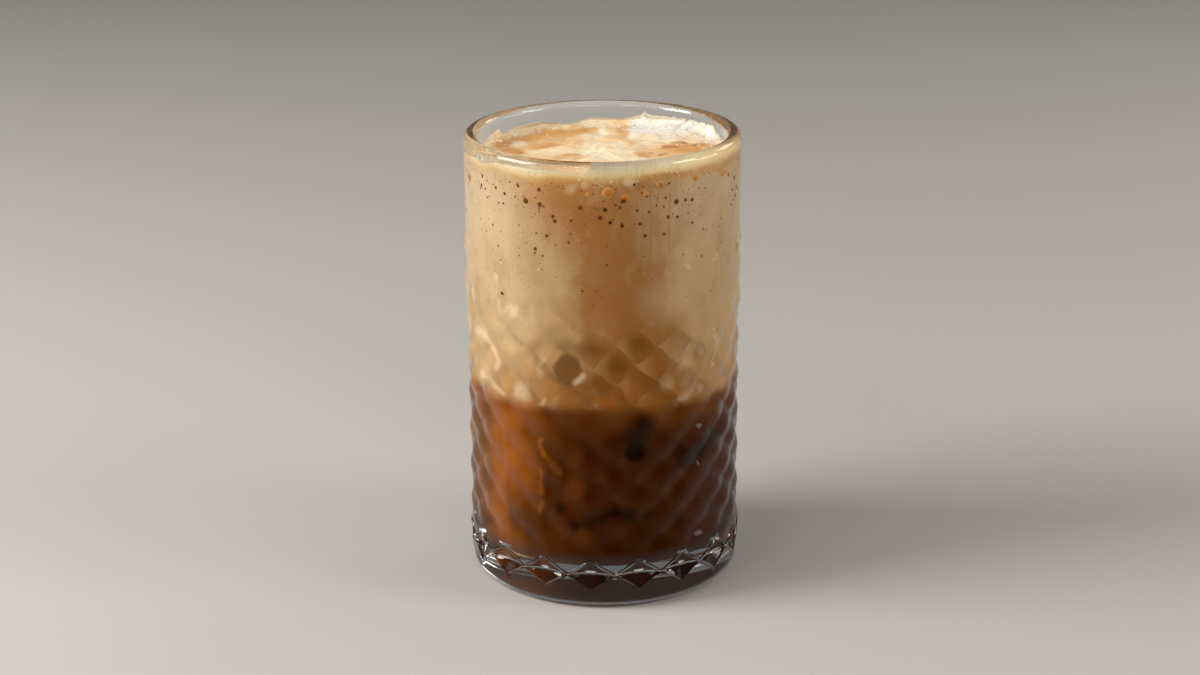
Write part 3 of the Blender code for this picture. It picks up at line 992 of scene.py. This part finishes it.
# Broad mounds: place across and along, spread and height
FROTH_MOUNDS = (
    (24 * MM, 25 * MM, 8 * MM, 1.6 * MM),
    (31 * MM, 10 * MM, 8 * MM, 0.8 * MM),
    (2 * MM, -30 * MM, 9 * MM, 0.7 * MM),
    (-22 * MM, 22 * MM, 9 * MM, -0.4 * MM),
    (-2 * MM, 6 * MM, 9 * MM, 0.3 * MM),
)


def edge_height(angle):
    """Height of the froth's edge at an angle from the front, in degrees."""
    for (start, low), (end, high) in zip(FROTH_EDGE, FROTH_EDGE[1:] + ((186, 125.1),)):
        if start <= angle < end:
            share = (angle - start) / (end - start)
            share = share * share * (3 - 2 * share)
            return (low + (high - low) * share) * MM
    return edge_height(angle + 360)


def froth_height(x, y):
    """Height of the froth's top at a place."""
    radius = hypot(x, y)
    angle = atan2(x, -y) * 180 / pi
    height = FROTH_LEVEL
    for across, along, reach, rise in FROTH_MOUNDS:
        height += rise * exp(-((x - across) ** 2 + (y - along) ** 2) / reach ** 2)
    place = Vector((x, y, 0)) / MM
    on_mound = exp(-((x - 25 * MM) ** 2 + (y - 20 * MM) ** 2) / (11 * MM) ** 2)
    height += 0.6 * MM * noise.fractal(place / 9, 1, 2, 3)
    height += (0.10 + 0.25 * on_mound) * MM * noise.fractal(place / 2.4, 1, 2, 3)
    height += (0.03 + 0.10 * on_mound) * MM * noise.noise(place / 0.9)
    climb = max(0, 1 - (DRINK_RADIUS - radius) / CLIMB_WIDTH) ** 3
    rough = 0.9 if 95 < angle < 168 else 0.25
    edge = edge_height(angle) + rough * MM * noise.fractal(Vector((angle / 2, 3, 0)), 1, 2, 3)
    return height + (edge - height) * climb


def make_froth_top():
    """Froth from its flat underside up to its uneven top."""
    rings = [DRINK_RADIUS * (1 - (1 - i / FROTH_RINGS) ** 1.25) for i in range(FROTH_RINGS + 1)]
    section = [(radius, FROTH_LEVEL) for radius in rings]
    section += [(DRINK_RADIUS, FROTH_BOTTOM), (0, FROTH_BOTTOM)]
    piece = turn("froth_top", section, FROTH_STEPS)
    for vertex in piece.data.vertices:
        if vertex.co.z > (FROTH_LEVEL + FROTH_BOTTOM) / 2:
            vertex.co.z = froth_height(vertex.co.x, vertex.co.y)
    settle(piece)
    bpy.ops.object.shade_smooth_by_angle(angle=radians(60))
    return piece


froth = make_froth_top()
print(f"froth: highest at {max(vertex.co.z for vertex in froth.data.vertices) / MM:.1f} mm")

# %% [markdown]
# ### Colours of the froth
#
# Clean milk froth is white. Coffee pushed up through it leaves a cream ground with tan fields and a
# few brown specks, and a white streak runs from the back to the front. Noise alone would put them
# anywhere, so each mark is an oval at its own place, and noise bends and feathers its edges.

# %% Froth finish
# How far noise pushes the paint about, across and along
SWIRL_BEND = (7 * MM, 12 * MM, 0)
# Paints, from 0 to 255, with their strength and the ovals that they fill: place across and along in mm,
# turn in degrees, half length and half width
FROTH_PAINTS = (
    # mixed tan
    ((216, 171, 118), 0.85, (
        (-15, 11, 10, 14, 12), (-27, 4, 60, 11, 7), (-10, -7, 20, 8, 6), (21, -2, 0, 15, 12),
    )),
    # tan
    ((206, 145, 80), 0.85, (
        (-21, 15.5, 42, 12, 6.5), (-13, 21.5, 12, 10, 6.5), (-5, 24, 0, 5.5, 6), (-29, 7, 60, 5.5, 3),
        (-24.5, -1.5, 0, 4, 5), (-16, 6, 20, 6, 4), (6.2, 24, 90, 9, 2.3), (25, 1, 0, 9, 7),
        (12.5, -5, 90, 6, 2.6), (-9.5, -4.3, 0, 3.2, 2.4),
    )),
    # cream
    ((228, 207, 174), 0.85, (
        (0.7, 30, 90, 8, 2.8), (-0.8, 16, 80, 11, 3.8), (-1.5, -2, 90, 13, 4.6), (-23.3, 9.5, 90, 4.6, 1.8),
    )),
    # pale curls
    ((242, 226, 194), 0.9, (
        (-0.2, 20, 84, 9, 1.6), (-3.2, 2, 70, 9, 1.6), (0.6, -6, 100, 8, 1.5), (7.8, -3, 60, 5, 2.2),
        (4, 6, 80, 5, 1.7), (9.9, -10.5, 0, 3.8, 2.8), (-6, -10, 60, 7, 1.6),
    )),
    # white
    ((226, 223, 215), 0.95, (
        (21, 24, -8, 16, 12), (31.5, 14, 90, 11, 3.6), (11, 27, 90, 10, 4.6),
    )),
    # brown specks
    ((160, 100, 54), 0.7, (
        (16.7, 8.5, 0, 2.6, 1.7), (22.3, 7, -4, 3.8, 1.7), (15.4, -1, 0, 1.4, 2.1), (17.7, -5, 0, 1.3, 1.9),
        (-23.6, -2.7, 0, 1.7, 2.4), (19, 2, -10, 3, 1.0), (27, 4, 6, 3, 1.0),
    )),
)


def oval_share(tree, place, across, along, turned, half_length, half_width, strength):
    """The strength of an oval in its core, falling to 0 at its outline."""
    mapped = add_node(tree, "ShaderNodeMapping", {
        "Vector": place, "Location": (across * MM, along * MM, 0), "Rotation": (0, 0, radians(turned)),
        "Scale": (half_length * MM, half_width * MM, 1),
    }, vector_type="TEXTURE").outputs["Vector"]
    return times(tree, spread(tree, vector_math(tree, "LENGTH", mapped), 0.35, 1.1, 1.0, 0.0), strength)


def make_pale_froth():
    """White, cream and tan froth on top, painted shade at its edge, and the layers' colour at the glass."""
    material, tree, shader = new_finish("pale_froth", 0.6)
    place = object_place(tree)
    bent = bent_place(tree, place, 150, 3, SWIRL_BEND)
    flat = flat_place(tree, bent)
    swirls = cloud(tree, bent, 110, detail=3, squash=(1.2, 0.4, 1))
    colour = blend_colour(tree, spread(tree, swirls, 0.38, 0.64), tone(237, 216, 180), tone(232, 194, 142))
    for paint, strength, ovals in FROTH_PAINTS:
        colour = paint_marks(tree, colour, tone(*paint), flat, ovals, oval_share, strength)
    feather = cloud(tree, place, 420, detail=4, rough=0.65)
    colour = blend_colour(tree, spread(tree, feather, 0.52, 0.75, 0, 0.25), colour, tone(218, 168, 116))
    # Painted shade: against the wall the froth's thin edge is darker, most of all at the back
    radius = vector_math(tree, "LENGTH", flat_place(tree, place))
    near_wall = spread(tree, radius, DRINK_RADIUS - 1.1 * MM, DRINK_RADIUS - 0.4 * MM, 0, 0.7)
    along = add_node(tree, "ShaderNodeSeparateXYZ", {"Vector": place}).outputs["Y"]
    back_shade = spread(tree, along, 16 * MM, 30 * MM)
    edge_shade_tone = blend_colour(tree, back_shade, tone(208, 192, 164), tone(158, 144, 122))
    colour = blend_colour(tree, near_wall, colour, edge_shade_tone)
    at_wall = spread(tree, radius, DRINK_RADIUS - 0.35 * MM, DRINK_RADIUS - 0.05 * MM)
    colour = blend_colour(tree, at_wall, colour, layer_colour(tree, place))
    coat(tree, shader, colour, 0.2, cloud(tree, place, 1100, detail=3, rough=0.6), 0.5, 0.15 * MM)
    shader.inputs["Subsurface Weight"].default_value = 0.5
    shader.inputs["Subsurface Radius"].default_value = (1.0, 0.75, 0.55)
    shader.inputs["Subsurface Scale"].default_value = 2.5 * MM
    return material


dress(froth, make_pale_froth(), "pale_froth", "froth_cap")

# %% [markdown]
# ## Bubbles
#
# Foam that was shaken holds air bubbles of all sizes. Against the glass the larger ones show as
# dark brown pits, many near the top and few lower down, because they rise. The finest ones gather
# just under the froth's edge as a line of pale beads. Painted dots would look flat from the side, so
# one bubble is modelled, a shallow dome with a flat back, and every other is a copy of it, turned
# and sized for its place on the wall.

# %% Model one bubble
def model_bubble():
    """A shallow dome of radius 1 that looks along -Y, with its back closed."""
    piece = add_alone("bubble", bpy.ops.mesh.primitive_uv_sphere_add, segments=10, ring_count=6, radius=1,
                      rotation=(pi / 2, 0, 0))
    settle(piece)
    bpy.ops.object.mode_set(mode="EDIT")
    bpy.ops.mesh.select_all(action="SELECT")
    bpy.ops.mesh.bisect(plane_co=(0, 0.2, 0), plane_no=(0, -1, 0), use_fill=True, clear_inner=True)
    bpy.ops.mesh.select_all(action="SELECT")
    bpy.ops.transform.resize(value=(1, 0.45, 1))
    bpy.ops.mesh.normals_make_consistent(inside=False)
    bpy.ops.object.mode_set(mode="OBJECT")
    bpy.ops.object.shade_smooth_by_angle(angle=radians(50))
    return piece


def scatter(name, model, marks):
    """Copy the model to each (place, turn, radius), with its own mesh, and join the copies."""
    copies = []
    for place, turned, radius in marks:
        copy = bpy.data.objects.new(name, model.data.copy())
        bpy.context.scene.collection.objects.link(copy)
        copy.data.transform(Matrix.Translation(place) @ turned.to_4x4() @ Matrix.Scale(radius, 4))
        copies.append(copy)
    return join(copies, name)


bubble = model_bubble()
print("bubble:", len(bubble.data.polygons), "faces")

# %% Places of the bubbles
# The largest bubbles at the front: angle from the front in degrees, height and radius in mm
LARGE_BUBBLES = (
    (-34.5, 117.6, 0.80), (-27.6, 117.1, 0.68), (-27.9, 121.2, 0.55), (-9.6, 117.1, 0.62),
    (1.0, 116.6, 0.62), (-1.1, 114.4, 0.58), (3.1, 113.0, 0.50), (-20.7, 113.0, 0.58),
    (8.2, 112.0, 0.55), (16.0, 112.3, 0.45), (18.2, 108.8, 0.50), (27.0, 108.7, 0.45),
    (28.9, 113.3, 0.48), (32.9, 117.2, 0.72), (-24.5, 108.6, 0.45), (-13.6, 113.4, 0.38),
    (9.1, 119.2, 0.78), (7.4, 117.1, 0.42), (14.7, 116.0, 0.38), (20.1, 115.4, 0.36),
    (37.6, 117.3, 0.50), (41.4, 116.9, 0.50), (33.4, 112.9, 0.42), (41.5, 110.4, 0.40),
    (-46.1, 118.4, 0.48), (-51.7, 119.4, 0.44), (-63.3, 117.8, 0.42), (-49.9, 115.4, 0.34),
    (-54.3, 108.6, 0.34), (-30.3, 103.3, 0.34), (-26.5, 102.8, 0.32), (1.7, 101.2, 0.34),
    (67.3, 120.4, 0.5), (74.4, 118.4, 0.6), (77.6, 115.3, 0.6), (71.9, 115.4, 0.5), (76.2, 113.0, 0.55),
    (70.9, 111.3, 0.45), (73.4, 112.3, 0.4),
)
# Thin-walled bubbles with an orange heart in a paler ring: angle, height, ring and heart
HALOED_BUBBLES = (
    (2.3, 121.3, 1.75, 1.10), (9.5, 119.6, 1.15, 0.85), (18.3, 120.5, 1.05, 0.42),
    (25.1, 122.6, 1.25, 0.75), (43.1, 122.9, 1.05, 0.75), (-6.0, 120.9, 0.85, 0.45),
)
# The largest of the pale beads: angle and height
LARGE_BEADS = (
    (-9.9, 124.6), (-8.3, 124.0), (-6.1, 124.9), (-3.0, 125.4), (0.9, 125.8), (2.9, 125.4), (3.6, 124.2),
    (5.7, 125.0), (7.8, 125.5), (10.2, 126.1), (12.2, 126.1), (15.1, 124.2), (17.2, 126.2), (19.3, 125.9),
    (28.0, 125.6), (30.8, 125.4), (33.6, 125.1),
)
SMALL_BUBBLES = 900
LARGE_BUBBLES_BEHIND = 46
HALOED_BUBBLES_BEHIND = 9
# A ringed bubble's ring lies this share of its radius behind its heart
RING_SUNK = 0.32
BEADS = 260


def on_wall(angle, height, outwards=0):
    """A place on the drink's side, and the turn that makes a bubble there look outwards."""
    return wall_place(angle, height, outwards), Matrix.Rotation(radians(angle), 3, "Z")


def small_bubble_marks(draw):
    """Many small bubbles all round, thinning out downwards."""
    marks = []
    for _ in range(SMALL_BUBBLES):
        angle = draw.uniform(-180, 180)
        height = 123.5 - min(draw.expovariate(1 / 9.5), 34)
        radius = min(0.09 + draw.expovariate(1 / 0.075), 0.55) * MM
        marks.append((*on_wall(angle, height), radius))
    for _ in range(LARGE_BUBBLES_BEHIND):
        angle = draw.choice((-1, 1)) * draw.uniform(80, 178)
        marks.append((*on_wall(angle, draw.uniform(108, 121)), draw.uniform(0.35, 0.75) * MM))
    return marks


draw = random.Random(7)
dark_marks = [(*on_wall(a, z), r * MM) for a, z, r in LARGE_BUBBLES] + small_bubble_marks(draw)
haloed = list(HALOED_BUBBLES)
for _ in range(HALOED_BUBBLES_BEHIND):
    ring = draw.uniform(0.8, 1.5)
    haloed.append((draw.uniform(60, 320), draw.uniform(118, 122.5), ring, ring * draw.uniform(0.5, 0.7)))
ring_marks = [(*on_wall(a, z, -RING_SUNK * ring), ring * MM) for a, z, ring, heart in haloed]
heart_marks = [(*on_wall(a, z), heart * MM) for a, z, ring, heart in haloed]
bead_marks = [(*on_wall(a, z), draw.uniform(0.24, 0.36) * MM) for a, z in LARGE_BEADS]
for _ in range(BEADS):
    angle = draw.uniform(-180, 180)
    drop = draw.expovariate(1 / 0.9)
    height = min(edge_height(angle) / MM, 126.4) - 0.4 - min(drop, 4)
    bead_marks.append((*on_wall(angle, height), draw.triangular(0.08, 0.36, 0.14) * MM))

# Bubbles on the froth's top look up, and most lie near the wall or on the white mound
LOOK_UP = Matrix.Rotation(-pi / 2, 3, "X")
TOP_BUBBLES = 520
top_marks = []
for number in range(TOP_BUBBLES):
    if number % 2:
        distance, angle = DRINK_RADIUS - (0.8 + draw.expovariate(1 / 2.5)) * MM, draw.uniform(-pi, pi)
    else:
        distance, angle = draw.gauss(31, 4) * MM, radians(draw.gauss(128, 26))
    if distance > DRINK_RADIUS - 0.7 * MM:
        continue
    x, y = distance * sin(angle), -distance * cos(angle)
    radius = draw.triangular(0.12, 0.5, 0.18) * MM
    top_marks.append((Vector((x, y, froth_height(x, y) - 0.25 * radius)), LOOK_UP, radius))
print("bubbles at the glass:", len(dark_marks), "dark,", len(ring_marks), "ringed,",
      len(bead_marks), "beads;", len(top_marks), "on the froth")

# %% [markdown]
# A bubble's finish is its colour and a wet gloss. The colour changes a little from bubble to bubble,
# by noise on Object coordinates, since one is deeper than the next.

# %% Bubbles and their finishes
def make_bubble_finish(name, first, second, roughness, gloss):
    """Wet colour that varies from one bubble to the next."""
    material, tree, shader = new_finish(name, roughness)
    place = object_place(tree)
    colour = blend_colour(tree, spread(tree, cloud(tree, place, 300, detail=1), 0.35, 0.65), first, second)
    coat(tree, shader, colour, gloss, cloud(tree, place, 2500, detail=1), 0.2, 0.02 * MM)
    return material


for name, marks, finish, first, second, roughness, gloss, slot in (
    ("bubble_pits", dark_marks, "pit_brown",
     (0.15, 0.042, 0.005, 1), (0.28, 0.095, 0.018, 1), 0.3, 0.1, "coffee_foam"),
    ("bubble_rings", ring_marks, "ring_caramel",
     (0.76, 0.35, 0.10, 1), (0.78, 0.42, 0.15, 1), 0.4, 0.0, "coffee_foam"),
    ("bubble_hearts", heart_marks, "heart_orange",
     (0.56, 0.16, 0.010, 1), (0.64, 0.24, 0.03, 1), 0.35, 0.1, "coffee_foam"),
    ("bubble_beads", bead_marks, "bead_cream",
     (0.90, 0.74, 0.40, 1), (0.85, 0.60, 0.27, 1), 0.25, 0.2, "pale_froth"),
    ("froth_bubbles", top_marks, "bead_white",
     (0.92, 0.86, 0.74, 1), (0.90, 0.78, 0.58, 1), 0.25, 0.3, "pale_froth"),
):
    dress(scatter(name, bubble, marks), make_bubble_finish(finish, first, second, roughness, gloss), slot)
bpy.data.objects.remove(bubble)
